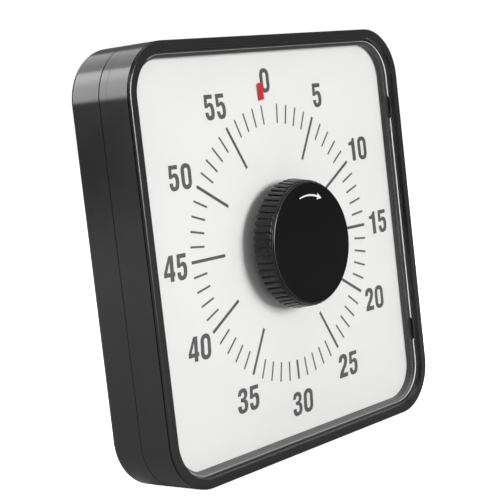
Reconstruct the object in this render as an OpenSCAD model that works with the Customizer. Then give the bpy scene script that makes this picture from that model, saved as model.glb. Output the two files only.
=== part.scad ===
// Mechanical 60-minute visual countdown timer, millimetres.
// +Z is up, the dial faces -Y, the origin is on the base plane under the middle of the case.

/* [Case] */
// outside width and height of the square case
case_w = 190; // [150:1:240]
// outside corner radius of the case
corner_r = 23.5; // [15:0.5:35]
// distance from the case's middle plane to the front of the rim
front_h = 18.3; // [15:0.1:22]
// distance from the case's middle plane to the outside of the back wall
back_h = 17.5; // [17:0.1:24]
// thickness of the moulded walls
wall = 2.5; // [1.8:0.1:3.5]
// width of the flat front rim, measured inward from the outside of the case
rim_w = 4.7; // [3.5:0.1:8]
// radius of the rim's outside edge
rim_edge_r = 1.6; // [0.4:0.1:2]
// radius of the back wall's outside edge
back_edge_r = 3.0; // [1:0.1:4]

/* [Window] */
// thickness of the clear lens
lens_t = 1.3; // [1:0.1:2]
// front face of the lens below the front of the rim
lens_drop = 2.6; // [0.5:0.1:4]
// gap between the lens edge and the rim
lens_gap = 0.9; // [0.2:0.1:1.5]
// front face of the dial below the front of the rim
dial_drop = 7.3; // [6:0.1:9]
// thickness of the dial sheet
dial_t = 0.5; // [0.4:0.05:0.8]

/* [Time disc] */
// rise of the slit dial and of the time disc over one full turn
pitch = 1.7; // [1.5:0.05:1.9]
// outside radius of the slit, raised part of the dial
ramp_r = 66.4; // [55:0.1:67]
// width of the smooth fade from the raised part to the flat field of the dial
ramp_fade = 18; // [8:0.5:18]
// outside radius of the time disc
disc_r = 65.4; // [54:0.1:66]
// outside radius of the pointer tab on the time disc
tab_r = 74.3; // [68:0.1:78]

/* [Knob] */
// outside radius of the ribbed skirt at its back edge
knob_r = 29.6; // [24:0.1:34]
// how much smaller that radius is at the front end of the ribs
knob_taper = 1.2; // [0:0.1:1.6]
// number of ribs around the skirt
knob_ribs = 56; // [36:1:72]
// back edge of the skirt in front of the case's middle plane
knob_z0 = 18.4; // [17.5:0.1:22]
// front face of the knob in front of the case's middle plane
knob_z1 = 28.5; // [27:0.1:36]

/* [Movement] */
// radius of the main arbor
arbor_r = 3.0; // [2.5:0.1:3.5]
// running clearance on the radius of the arbors
run_c = 0.07; // [0.03:0.01:0.1]
// teeth of the main wheel
main_teeth = 72; // [60:6:72]
// teeth of each pinion
pinion_teeth = 12; // [10:1:14]
// inside radius of the spring barrel
barrel_r = 16.0; // [14:0.1:17]
// outside radius of the bell
bell_r = 20; // [16:0.5:22]

/* [Hidden] */

a = case_w / 2;
cc = a - corner_r;                 // centre of each rounded corner
split = 0.6;                       // plane where the two case halves meet
win = a - 7.1;                     // half width of the window below the lens
lens_z = front_h - lens_drop;      // front face of the lens
ledge_z = lens_z - lens_t;         // ledge that the lens lies on
dial_z = front_h - dial_drop;      // front face of the flat part of the dial
dial_a = a - 6.4;                  // half width of the dial sheet
boss_c = cc + 19.6 / sqrt(2);      // case screw position in each corner
tab_at = 56;                       // lens tabs from the middle of each upright side
ears = [[90.3, 34], [90.3, -34], [-90.3, 34], [-90.3, -34], [0, 90.3], [0, -90.3]];

// movement plates and pillars
fp0 = 5.4; fp1 = 6.6; rp0 = -8.6; rp1 = -7.4;
px0 = -34; px1 = 48; py0 = -38; py1 = 30;
posts = [[-30, 26], [44, 26], [44, -34], [-30, -34]];
feet_at = [[-20, 25], [36, 25], [36, -33], [-20, -33]];

// wheel train, each centre placed from the one before
m1 = 0.6; m2 = 0.45; m3 = 0.4;
second_teeth = 60; third_teeth = 48;
d12 = m1 * (main_teeth + pinion_teeth) / 2;
d23 = m2 * (second_teeth + pinion_teeth) / 2;
d34 = m3 * (third_teeth + pinion_teeth) / 2;
b12 = -60; b23 = -5; b34 = 75; b45 = 90;
P2 = [d12 * cos(b12), d12 * sin(b12)];
P3 = [P2[0] + d23 * cos(b23), P2[1] + d23 * sin(b23)];
P4 = [P3[0] + d34 * cos(b34), P3[1] + d34 * sin(b34)];
P5 = [P4[0] + 11 * cos(b45), P4[1] + 11 * sin(b45)];
esc_teeth = 32; esc_r = 7.6;
PH = [-29, -27];                   // hammer pivot
PR = [-20, 14];                    // release lever pivot
BC = [-64, -12];                   // bell centre
magnet_at = [[-66, 66], [66, 66], [-66, -66], [66, -66]];
hang_y = 60;                       // entry of the keyhole hanger

// front view frame: x right, y up, z towards the viewer
module F() { translate([0, 0, a]) rotate([90, 0, 0]) children(); }

// exact rounded square of half width h and corner radius r
module rsq(h, r) {
  square([2 * h, 2 * (h - r)], center = true);
  square([2 * (h - r), 2 * h], center = true);
  for (x = [-1, 1], y = [-1, 1]) translate([x * (h - r), y * (h - r)]) circle(r, $fn = 64);
}
module slab(h, r, z0, z1) { translate([0, 0, z0]) linear_extrude(z1 - z0) rsq(h, r); }
module cyl(p, r, z0, z1, n = 48) { translate([p[0], p[1], z0]) cylinder(r = r, h = z1 - z0, $fn = n); }

// sweeps a wall profile, x measured outward from the corner centre, around the case
module around() {
  for (k = [0:3]) rotate([0, 0, 90 * k]) {
    translate([cc, cc, 0]) rotate_extrude(angle = 90, $fn = 96) children();
    translate([cc, cc, 0]) rotate([90, 0, 0]) linear_extrude(2 * cc) children();
  }
}
// profile corner from u (inward from the outside) and z
function pr(u, z) = [corner_r - u, z];
function arc(cu, cz, r, a0, a1, n = 6) = [for (i = [0:n]) pr(cu - r * cos(a0 + (a1 - a0) * i / n), cz + r * sin(a0 + (a1 - a0) * i / n))];

// front half: rim, lens ledge, window wall, dial seat and outside wall
module front_case() {
  color("#3a3a3c") F() difference() {
    union() {
      around() polygon(concat(
        [pr(0, split + 0.3)],
        arc(rim_edge_r, front_h - rim_edge_r, rim_edge_r, 0, 90),
        [pr(rim_w - 0.3, front_h), pr(rim_w, front_h - 0.3), pr(rim_w, ledge_z),
         pr(7.1, ledge_z), pr(7.1, dial_z), pr(wall, dial_z), pr(wall, 3.0),
         pr(1.4, 3.0), pr(1.4, split), pr(0.3, split)]));
      for (x = [-1, 1], y = [-1, 1]) cyl([x * boss_c, y * boss_c], 2.3, 3.2, dial_z + 0.1);
      for (e = ears) cyl(e, 1.9, 8.5, dial_z + 0.1);
    }
    for (x = [-1, 1], y = [-1, 1]) cyl([x * boss_c, y * boss_c], 0.95, 3.1, 9.8);
    for (e = ears) cyl(e, 0.75, 8.4, 10.6);
    // notches that take the lens tabs, two in each upright side
    for (k = [0, 2], s = [-1, 1]) rotate([0, 0, 90 * k]) translate([a - rim_w - 1, s * tab_at - 6.6, ledge_z])
      cube([2.1, 13.2, lens_t + 0.15]);
  }
}

// back half: back wall, outside wall, tongue, screw tubes, magnet pockets, hanger and sound slots
module rear_case() {
  color("#3a3a3c") F() difference() {
    union() {
      around() polygon(concat(
        [pr(0.3, split - 0.02), pr(0, split - 0.3)],
        [for (i = [0:6]) pr(back_edge_r - back_edge_r * cos(15 * i), -back_h + back_edge_r - back_edge_r * sin(15 * i))],
        [pr(corner_r, -back_h), pr(corner_r, -back_h + wall), pr(wall, -back_h + wall),
         pr(wall, 2.7), pr(1.6, 2.7), pr(1.6, split - 0.02)]));
      translate([0, 0, -back_h + wall / 2]) cube([2 * cc + 0.1, 2 * cc + 0.1, wall], center = true);
      for (x = [-1, 1], y = [-1, 1]) {
        cyl([x * boss_c, y * boss_c], 3.2, -back_h + 1, 0.2);
        cyl([x * boss_c, y * boss_c], 2.1, 0, 2.9);
      }
      for (p = magnet_at) cyl(p, 10, -back_h + 1, -back_h + 4.6);
      for (y = [hang_y, hang_y + 9]) cyl([0, y], 7, -back_h + 1, -back_h + 4.8);
      translate([-7, hang_y, -back_h + 1]) cube([14, 9, 3.8]);
      cyl(BC, 4, -back_h + 1, -9.5);
    }
    for (x = [-1, 1], y = [-1, 1]) {
      cyl([x * boss_c, y * boss_c], 2.1, -back_h - 1, -6);
      cyl([x * boss_c, y * boss_c], 1.2, -7, 4);
    }
    for (p = magnet_at) cyl(p, 7.6, -back_h - 1, -back_h + 2.6);
    // blind keyhole hanger: round entry, narrow slot and the undercut behind it
    cyl([0, hang_y], 4.5, -back_h - 1, -back_h + 3.8);
    translate([-2.2, hang_y, -back_h - 1]) cube([4.4, 9, 1 + wall - 0.6]);
    cyl([0, hang_y + 9], 2.2, -back_h - 1, -back_h + wall - 0.6);
    translate([-3.6, hang_y, -back_h + 1.1]) cube([7.2, 9.6, 2.7]);
    // sound slots behind the bell
    for (i = [-2:2]) for (s = [-1, 1]) translate([BC[0] + s * 12.5, BC[1] + 6 * i, -back_h])
      cube([13, 2.2, 3 * wall], center = true);
    cyl(BC, 0.9, -14, -9);
  }
}

// clear lens with a centre hole and four shallow tabs
module lens() {
  color("#dfe8ee", 0.35) F() difference() {
    union() {
      slab(a - rim_w - lens_gap, corner_r - rim_w - lens_gap, ledge_z + 0.03, lens_z);
      for (k = [0, 2], s = [-1, 1]) rotate([0, 0, 90 * k]) translate([0, s * tab_at, ledge_z + 0.03])
        linear_extrude(lens_t - 0.03) polygon([[a - rim_w - 3, -6], [a - rim_w - lens_gap, -6],
          [a - rim_w + 0.8, -4.8], [a - rim_w + 0.8, 4.8], [a - rim_w - lens_gap, 6], [a - rim_w - 3, 6]]);
    }
    cyl([0, 0], 14, 0, 20, 96);
  }
}

// closed band swept around the axis: s(t) gives a ring of section corners [r, z] for angle t, clockwise
function pt(r, z, t) = [r * sin(t), r * cos(t), z];
module band(t0, t1, n, sec) {
  m = len(sec);
  pts = [for (i = [0:n]) let (t = t0 + (t1 - t0) * i / n) for (q = sec)
    pt(q[0], q[1] + q[2] * pitch * t / 360, t)];
  side = [for (i = [0:n - 1]) for (j = [0:m - 1]) let (b = i * m, k = (j + 1) % m)
    each [[b + j, b + k, b + m + k], [b + j, b + m + k, b + m + j]]];
  polyhedron(points = pts, faces = concat([[for (j = [m - 1:-1:0]) j]], side, [[for (j = [0:m - 1]) n * m + j]]), convexity = 6);
}
hz = dial_z + 0.02;

// dial sheet: flat outside field, raised inside field slit at twelve o'clock, and a smooth fade between them
function ease(q) = q * q * (3 - 2 * q);
// half width of the dial sheet along a line at angle t: straight sides and round corners
function rim_at(t) = let (h = dial_a, r = corner_r - 6.4, c = h - r, u = abs(sin(t)), v = abs(cos(t)), p = max(u, v), q = min(u, v), e = h / p)
  e * q <= c ? e : let (b = c * (u + v)) b + sqrt(b * b - 2 * c * c + r * r);
// ring of 20 section corners at angle t: raised field, fade, level field, and back below
function ring_up(t) = let (k = pitch * t / 360) concat(
  [pt(9, hz - 0.3 + k, t), pt(9, hz + k, t)],
  [for (i = [0:7]) let (q = i / 7) pt(ramp_r + ramp_fade * q, hz - 0.02 * q + k * (1 - ease(q)), t)],
  [pt(rim_at(t), dial_z, t), pt(rim_at(t), dial_z - dial_t, t)],
  [for (i = [7:-1:0]) let (q = i / 7) pt(ramp_r + ramp_fade * q, hz - 0.3 - (dial_t - 0.28) * q + k * (1 - ease(q)), t)]);
// past the end of the fade: 4 corners of the raised field, then 6 of the level field that reaches in below it
function ring_gap(t) = let (k = pitch * t / 360, lo = dial_z - dial_t, e = ramp_r + ramp_fade) [
  pt(9, hz - 0.3 + k, t), pt(9, hz + k, t), pt(ramp_r, hz + k, t), pt(ramp_r, hz - 0.3 + k, t),
  pt(ramp_r - 2.4, lo, t), pt(ramp_r - 2.4, dial_z, t), pt(e, dial_z, t), pt(rim_at(t), dial_z, t), pt(rim_at(t), lo, t), pt(e, lo, t)];
// faces between two rings, given the corner numbers of each
function skin(p, q) = [for (j = [0:len(p) - 1]) let (l = (j + 1) % len(p)) each [[p[j], p[l], q[l]], [p[j], q[l], q[j]]]];
module sheet(n) {
  g = 20 * (n + 1);
  z = 20 * n;
  w = g + 30;
  pts = concat([for (i = [0:n]) each ring_up(0.25 + 352.75 * i / n)], [for (i = [0:3]) each ring_gap(353.1 + 6.65 * i / 3)]);
  polyhedron(convexity = 8, points = pts, faces = concat(
    [for (i = [0:n - 1]) each skin([for (j = [0:19]) 20 * i + j], [for (j = [0:19]) 20 * i + 20 + j])],
    skin([z, z + 1, z + 2, z + 19], [g, g + 1, g + 2, g + 3]),
    skin([z + 12, z + 9, z + 10, z + 11], [g + 9, g + 6, g + 7, g + 8]),
    [concat([z + 19], [for (j = [2:9]) z + j], [for (j = [12:18]) z + j]), [g + 9, g + 6, g + 5, g + 4]],
    [for (i = [0:2]) let (b = g + 10 * i) each concat(
      skin([for (j = [0:3]) b + j], [for (j = [0:3]) b + 10 + j]), skin([for (j = [4:9]) b + j], [for (j = [4:9]) b + 10 + j]))],
    [[w, w + 1, w + 2, w + 3], [19, 2, 1, 0], [w + 4, w + 5, 2], [w + 4, 2, 19]],
    [[w + 6, w + 7, 10], [w + 6, 10, 9], [w + 7, w + 8, 11], [w + 7, 11, 10], [w + 8, w + 9, 12], [w + 8, 12, 11]],
    [[w + 5, w + 6, 9]], [for (j = [9:-1:3]) [w + 5, j, j - 1]],
    [for (j = [19:-1:13]) [w + 4, j, j - 1]], [[w + 4, 12, w + 9]]));
}
module dial() {
  color("#f2f2ee") F() difference() {
    sheet(118);
    for (e = ears) cyl(e, 2.15, 0, 20);
  }
}

// red time disc: one turn of thin film with a pointer tab on its leading edge
module time_disc() {
  dz = hz - 0.3 - 0.2;
  color("#d8141f") F() union() {
    band(3, 358.4, 118, [[8.03, dz - 0.25, 1], [8.03, dz, 1], [disc_r, dz, 1], [disc_r, dz - 0.25, 1]]);
    band(354.9, 357.2, 2, [[disc_r - 1, dz - 0.24, 1], [disc_r - 1, dz - 0.01, 1], [ramp_r + 0.6, dz - 0.01, 1], [ramp_r + 0.6, dz - 0.24, 1]]);
    translate([0, 0, dz + pitch * 356.05 / 360 - 0.235]) linear_extrude(0.21) polygon([
      [-6.2, ramp_r - 0.5], [-6.2, tab_r - 1.4], [-5.95, tab_r - 0.75], [-5.3, tab_r - 0.3],
      [-4.0, tab_r - 0.3], [-3.35, tab_r - 0.75], [-3.1, tab_r - 1.4], [-3.1, ramp_r - 0.5]]);
  }
}

// D-shaped shaft section
module dee(r, f) { intersection() { circle(r, $fn = 64); translate([-r - 1, -r - 1]) square([r + 1 + f, 2 * r + 2]); } }

// hub of the time disc, keyed to the flat of the main arbor
module disc_hub() {
  color("#26262a") F() difference() {
    cyl([0, 0], 8, 9.6, 12.5, 96);
    translate([0, 0, 9]) linear_extrude(5) dee(arbor_r + run_c, 2.2 + run_c);
  }
}

// moulded plate behind the dial: carries the dial in front and the movement behind
module chassis() {
  color("#57575a") F() difference() {
    union() {
      slab(a - 6.8, corner_r - 6.8, 7.0, 8.5);
      difference() {
        slab(a - 6.8, corner_r - 6.8, 8.4, dial_z - dial_t - 0.03);
        slab(a - 9.0, corner_r - 9.0, 8.3, 12);
      }
      difference() {
        cyl([0, 0], 73.5, 8.4, dial_z - dial_t - 0.03, 120);
        cyl([0, 0], 71.5, 8.3, 12, 120);
      }
      for (e = ears) {
        cyl(e, 1.9, 7.0, 8.47);
        translate([e[0] - 0.02 * e[0], e[1] - 0.02 * e[1], 7.735]) cube([3.8, 3.8, 1.47], center = true);
      }
      for (p = feet_at) cyl(p, 3, 6.62, 7.1);
    }
    cyl([0, 0], 10, 6, 12);
    for (e = ears) cyl(e, 0.95, 6, 9);
    for (p = feet_at) cyl(p, 0.95, 6, 8.2);
    for (x = [-1, 1], y = [-1, 1]) translate([x * 52, y * 52, 0]) cyl([0, 0], 7, 6, 9);
  }
}

// round-headed screw: head from z0 towards the shank side d
module screw(p, z0, d, hr, hh, sr, sl) {
  difference() {
    union() {
      cyl(p, hr, min(z0, z0 + d * hh), max(z0, z0 + d * hh), 32);
      cyl(p, sr, min(z0, z0 + d * (hh + sl)), max(z0, z0 + d * (hh + sl)), 24);
    }
    translate([p[0], p[1], z0]) { cube([hr * 1.1, 0.5, 0.9], center = true); cube([0.5, hr * 1.1, 0.9], center = true); }
  }
}
module case_screws() { color("#8a8a8e") F() for (x = [-1, 1], y = [-1, 1]) screw([x * boss_c, y * boss_c], -7.6, 1, 1.9, 1.58, 0.93, 15.5); }
module chassis_screws() { color("#8a8a8e") F() for (e = ears) screw(e, 5.8, 1, 1.7, 1.18, 0.73, 3.2); }
module movement_screws() { color("#8a8a8e") F() for (p = feet_at) screw(p, 4.0, 1, 1.9, 1.38, 0.93, 2.6); }
module pillar_screws() {
  color("#8a8a8e") F() for (p = posts) {
    screw(p, -9.8, 1, 1.9, 1.18, 0.78, 4.0);
  }
}
module knob_screw() { color("#8a8a8e") F() screw([0, 0], 27.15, -1, 3.2, 1.5, 1.18, 7.5); }
module bell_screw() { color("#8a8a8e") F() screw(BC, -1.6, -1, 2.6, 1.2, 1.1, 4.6); }

module plate_shape() { translate([px0, py0]) square([px1 - px0, py1 - py0]); }

// front plate of the movement
module front_plate() {
  color("#c9a94f") F() translate([0, 0, fp0]) linear_extrude(fp1 - fp0) difference() {
    plate_shape();
    circle(arbor_r + run_c, $fn = 64);
    for (p = [P2, P3, P4, P5, PH, PR]) translate(p) circle(0.6 + run_c, $fn = 32);
    for (p = feet_at) translate(p) circle(1.1, $fn = 32);
    for (p = posts) translate(p) circle(1.25, $fn = 32);
    translate([-4, 27]) circle(2, $fn = 32);
  }
}

// rear plate of the movement
module rear_plate() {
  color("#c9a94f") F() translate([0, 0, rp0]) linear_extrude(rp1 - rp0) difference() {
    plate_shape();
    circle(2 + run_c, $fn = 64);
    for (p = [P2, P3, P4, P5, PH, PR]) translate(p) circle(0.6 + run_c, $fn = 32);
    for (p = posts) translate(p) circle(0.95, $fn = 32);
    for (p = feet_at) translate(p) circle(2.4, $fn = 32);
  }
}

// four turned pillars between the plates, riveted into the front plate
module pillars() {
  color("#b9bcc0") F() for (p = posts) difference() {
    union() { cyl(p, 2.2, rp1 + 0.01, fp0 - 0.01, 32); cyl(p, 1.24, fp0 - 0.5, fp1 + 0.2, 32); }
    cyl(p, 0.8, -8, -2.5, 24);
  }
}

// cup that holds the mainspring, fixed on the rear plate
module spring_barrel() {
  color("#b9bcc0") F() difference() {
    cyl([0, 0], barrel_r + 0.8, rp1 + 0.01, -1.4, 96);
    cyl([0, 0], barrel_r, rp1 + 0.6, 0, 96);
    cyl([0, 0], 4.2, -9, 0);
  }
}

// spiral mainspring lying in the barrel
module mainspring() {
  turns = 8; n = 36 * turns; r0 = 4.4; r1 = barrel_r - 0.5; t = 0.35;
  color("#5f6670") F() translate([0, 0, -6.5]) linear_extrude(4.7) polygon(concat(
    [for (i = [0:n]) let (r = r0 + (r1 - r0) * i / n, q = 10 * i) [r * cos(q), r * sin(q)]],
    [for (i = [n:-1:0]) let (r = r0 + (r1 - r0) * i / n + t, q = 10 * i) [r * cos(q), r * sin(q)]]));
}

// involute tooth outline: module m, z teeth, 28 degree pressure angle, backlash b
function inv_pt(rb, r) = let (q = acos(min(1, rb / r))) tan(q) * 180 / PI - q;
function tooth(m, z, b, i) = let (
    rp = m * z / 2, rb = rp * cos(28), ra = rp + 0.8 * m, rf = rp - 1.1 * m,
    hp = 90 / z - b * 90 / PI / rp + inv_pt(rb, rp), c = i * 360 / z, s = max(rb, rf), n = 4)
  concat(
    rb > rf ? [[rf, c - hp]] : [],
    [for (k = [0:n]) let (r = s + (ra - s) * k / n) [r, c - hp + inv_pt(rb, r)]],
    [for (k = [n:-1:0]) let (r = s + (ra - s) * k / n) [r, c + hp - inv_pt(rb, r)]],
    rb > rf ? [[rf, c + hp]] : []);
module gear2d(m, z, b = 0.09) {
  pol = [for (i = [0:z - 1]) each tooth(m, z, b, i)];
  polygon([for (q = pol) [q[0] * cos(q[1]), q[0] * sin(q[1])]]);
}
module spokes(r0, r1, w, n) {
  difference() {
    circle(r1, $fn = 64); circle(r0, $fn = 48);
    for (i = [0:n - 1]) rotate(i * 360 / n) translate([0, -w / 2]) square([r1 + 1, w]);
  }
}
module wheel(p, m, z, bore, z0, z1, ph, n) {
  translate([p[0], p[1], z0]) linear_extrude(z1 - z0) rotate(ph) difference() {
    gear2d(m, z); circle(bore, $fn = 48);
    spokes(bore + 2.2, m * z / 2 - 1.1 * m - 1.6, 2.4, n);
  }
}
module pinion(p, m, bore, z0, z1, ph) {
  translate([p[0], p[1], z0]) linear_extrude(z1 - z0) rotate(ph) difference() { gear2d(m, pinion_teeth); circle(bore, $fn = 32); }
}
module shaft(p, r) { cyl(p, 0.6, -8.5, 6.5, 32); cyl(p, r, -7.2, 5.2, 32); }
gap0 = 180 + 180 / pinion_teeth;   // turns a pinion so that a gap faces back along the line of centres

module main_wheel() { color("#c9a94f") F() wheel([0, 0], m1, main_teeth, arbor_r + 0.02, 2.4, 3.6, b12, 5); }
module second_pinion() { color("#b9bcc0") F() pinion(P2, m1, 1.02, 1.6, 4.6, b12 + gap0); }
module second_wheel() { color("#c9a94f") F() wheel(P2, m2, second_teeth, 1.02, -0.3, 0.6, b23, 4); }
module second_arbor() { color("#9a9da2") F() shaft(P2, 1.0); }
module third_pinion() { color("#b9bcc0") F() pinion(P3, m2, 1.02, -1.1, 1.4, b23 + gap0); }
module third_wheel() { color("#c9a94f") F() wheel(P3, m3, third_teeth, 1.02, -3.7, -2.9, b34, 4); }
module third_arbor() { color("#9a9da2") F() shaft(P3, 1.0); }
module escape_pinion() { color("#b9bcc0") F() pinion(P4, m3, 1.02, -4.4, -2.2, b34 + gap0); }
module escape_arbor() { color("#9a9da2") F() shaft(P4, 1.0); }
module escape_wheel() {
  st = 360 / esc_teeth;
  color("#c9a94f") F() translate([P4[0], P4[1], -6.4]) linear_extrude(0.8) rotate(b45 + st / 2) difference() {
    polygon([for (i = [0:esc_teeth - 1]) each [
      [esc_r * cos(i * st - 0.7), esc_r * sin(i * st - 0.7)], [esc_r * cos(i * st + 0.7), esc_r * sin(i * st + 0.7)],
      [(esc_r - 1.3) * cos(i * st + 2.6), (esc_r - 1.3) * sin(i * st + 2.6)],
      [(esc_r - 1.3) * cos((i + 1) * st - 2.6), (esc_r - 1.3) * sin((i + 1) * st - 2.6)]]]);
    circle(1.02, $fn = 32);
    spokes(2.6, esc_r - 2.4, 1.2, 4);
  }
}

// anchor with two pallet pins, its balance and their arbor
pin_r = 0.42; pin_d = esc_r + 0.15 + pin_r;
function pin_at(s) = [P4[0] + pin_d * cos(b45 + s * 33.75), P4[1] + pin_d * sin(b45 + s * 33.75)];
module bar2d(p, q, w) {
  l = norm(q - p);
  translate(p) rotate(atan2(q[1] - p[1], q[0] - p[0])) translate([0, -w / 2]) square([l, w]);
  translate(p) circle(w / 2 + 0.06, $fn = 24); translate(q) circle(w / 2 + 0.06, $fn = 24);
}
module pallet_lever() {
  color("#b9bcc0") F() union() {
    translate([0, 0, -5.2]) linear_extrude(0.7) difference() {
      union() { translate(P5) circle(2.2, $fn = 32); for (s = [-1, 1]) bar2d(P5, pin_at(s), 1.6); }
      translate(P5) circle(1.02, $fn = 32);
    }
    for (s = [-1, 1]) cyl(pin_at(s), pin_r, -6.7, -4.9, 24);
  }
}
module balance() {
  color("#c9a94f") F() translate([P5[0], P5[1], -1.5]) linear_extrude(1.2) difference() {
    union() {
      difference() { circle(9.5, $fn = 64); circle(7.9, $fn = 64); }
      square([17, 1.8], center = true); circle(2.2, $fn = 32);
    }
    circle(1.02, $fn = 32);
  }
}
module pallet_arbor() { color("#9a9da2") F() shaft(P5, 1.0); }

// main arbor: rear pivot, spring seat, front bearing, flat for the hub and the knob
module main_arbor() {
  color("#9a9da2") F() difference() {
    union() {
      cyl([0, 0], 2, rp0 - 0.4, -7, 48);
      cyl([0, 0], 3.6, -7.2, -1.6, 48);
      cyl([0, 0], arbor_r, -1.7, 8.8, 64);
      translate([0, 0, 8.7]) linear_extrude(16.35) dee(arbor_r, 2.2);
    }
    cyl([0, 0], 1.2, 17.5, 27, 32);
  }
}
module clutch_washer() {
  color("#b9bcc0") F() difference() { cyl([0, 0], 6.5, 1.7, 2.38, 48); cyl([0, 0], arbor_r + 0.02, 1, 3, 48); }
}
nose_a = 115;                      // direction of the release lever's nose from the main arbor
// disc with the notch that lets the strike lever drop at zero
module alarm_cam() {
  color("#e4e4de") F() translate([0, 0, 3.75]) linear_extrude(1.1) difference() {
    circle(9, $fn = 96); circle(arbor_r + 0.02, $fn = 48);
    rotate(nose_a) translate([6.6, -3.4]) square([4, 6.8]);
  }
}

// knob: ribbed skirt with a smooth front band, boss and drive bore
module knob_skirt() {
  st = 360 / knob_ribs;
  band0 = knob_z1 - 1.5;
  rf = knob_r - knob_taper;
  color("#2c2c2e") F() difference() {
    union() {
      translate([0, 0, knob_z0]) cylinder(r1 = knob_r - 0.85, r2 = rf - 0.75, h = band0 - knob_z0, $fn = 180);
      intersection() {
        translate([0, 0, knob_z0]) linear_extrude(band0 - knob_z0) polygon([for (i = [0:knob_ribs - 1]) each
          [for (q = [[-0.64, rf - 2], [-0.36, rf - 2], [-0.36, knob_r + 1], [0.36, knob_r + 1]])
            [q[1] * cos((i + q[0]) * st), q[1] * sin((i + q[0]) * st)]]]);
        translate([0, 0, knob_z0]) cylinder(r1 = knob_r, r2 = rf, h = band0 - knob_z0, $fn = 180);
      }
      translate([0, 0, band0 - 0.02]) cylinder(r1 = rf - 0.35, r2 = rf - 0.6, h = 0.87, $fn = 120);
      cyl([0, 0], 9, 14.8, knob_z0 + 1, 64);
    }
    difference() { cyl([0, 0], rf - 2.4, 10, knob_z1 - 4.1, 96); cyl([0, 0], 9, 10, 40, 64); }
    translate([0, 0, 10]) linear_extrude(15.15) dee(arbor_r + 0.02, 2.22);
    cyl([0, 0], 1.3, 20, 40, 32);
    cyl([0, 0], 3.4, 25.55, 40, 32);
    cyl([0, 0], rf - 1.0, knob_z1 - 1.25, 40, 120);
  }
}
// face of the knob, pressed into the skirt
module knob_cap() {
  r = knob_r - knob_taper - 1.02;
  color("#1f1f21") F() translate([0, 0, knob_z1 - 1.23]) rotate_extrude($fn = 120)
    polygon([[0, 0], [r, 0], [r, 0.95], [r - 0.15, 1.14], [r - 0.4, 1.23], [0, 1.23]]);
}

// bell dome on its post
module bell() {
  color("#c8ccd2") F() translate([BC[0], BC[1], 0]) rotate_extrude($fn = 96) polygon([
    [1.3, -2.85], [7, -2.85], [12.5, -3.6], [16.6, -5.4], [19.1, -8.2], [bell_r, -11.6],
    [bell_r - 0.9, -11.6], [18.3, -8.6], [16.1, -6.2], [12.2, -4.5], [7, -3.75], [1.3, -3.75]]);
}
module bell_post() {
  color("#b9bcc0") F() difference() { cyl(BC, 3.2, -9.49, -3.77, 32); cyl(BC, 1.15, -10, -3, 24); }
}

// hammer: arm, head, arbor and return spring
HH = [BC[0] + bell_r + 3.3, BC[1] - 1];
module hammer_arm() {
  color("#b9bcc0") F() translate([0, 0, -6.6]) linear_extrude(0.9) difference() {
    union() { translate(PH) circle(2.4, $fn = 32); bar2d(PH, HH, 2.2); }
    translate(PH) circle(1.02, $fn = 32);
    translate(HH) circle(0.82, $fn = 24);
  }
}
module hammer_head() { color("#9a9da2") F() union() { cyl(HH, 2.4, -11.4, -6.62, 32); cyl(HH, 0.8, -6.8, -5.4, 24); } }
module hammer_arbor() { color("#9a9da2") F() shaft(PH, 1.0); }
module hammer_spring() {
  n = 108;
  color("#5f6670") F() translate([PH[0], PH[1], -5.2]) linear_extrude(0.6) polygon(concat(
    [for (i = [0:n]) let (r = 1.6 + 1.9 * i / n, q = 10 * i) [r * cos(q), r * sin(q)]],
    [for (i = [n:-1:0]) let (r = 1.6 + 1.9 * i / n + 0.25, q = 10 * i) [r * cos(q), r * sin(q)]]));
}

// release lever whose nose lies just clear of the alarm cam
module release_lever() {
  e = [-9, 18];
  nose = (9 + 0.35 + 0.9) * [cos(nose_a), sin(nose_a)];
  color("#b9bcc0") F() translate([0, 0, 3.9]) linear_extrude(0.8) difference() {
    union() { translate(PR) circle(2.2, $fn = 32); bar2d(PR, e, 1.8); bar2d(e, nose, 1.8); }
    translate(PR) circle(1.02, $fn = 32);
  }
}
module release_arbor() { color("#9a9da2") F() shaft(PR, 1.0); }

// round magnets in the back
module magnets() { color("#9fa3a8") F() for (p = magnet_at) cyl(p, 7.5, -back_h + 0.3, -back_h + 2.58, 64); }

front_case();
rear_case();
lens();
dial();
chassis();
magnets();
case_screws();
chassis_screws();
movement_screws();
front_plate();
rear_plate();
pillars();
pillar_screws();
spring_barrel();
mainspring();
bell();
bell_post();
bell_screw();
knob_skirt();
knob_cap();
knob_screw();
main_arbor();
main_wheel();
clutch_washer();
alarm_cam();
time_disc();
disc_hub();
second_wheel();
second_pinion();
second_arbor();
third_wheel();
third_pinion();
third_arbor();
escape_wheel();
escape_pinion();
escape_arbor();
pallet_lever();
balance();
pallet_arbor();
hammer_arm();
hammer_head();
hammer_arbor();
hammer_spring();
release_lever();
release_arbor();
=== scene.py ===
import bpy, bmesh, math
from mathutils import Vector, Matrix
from mathutils.geometry import delaunay_2d_cdt

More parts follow.
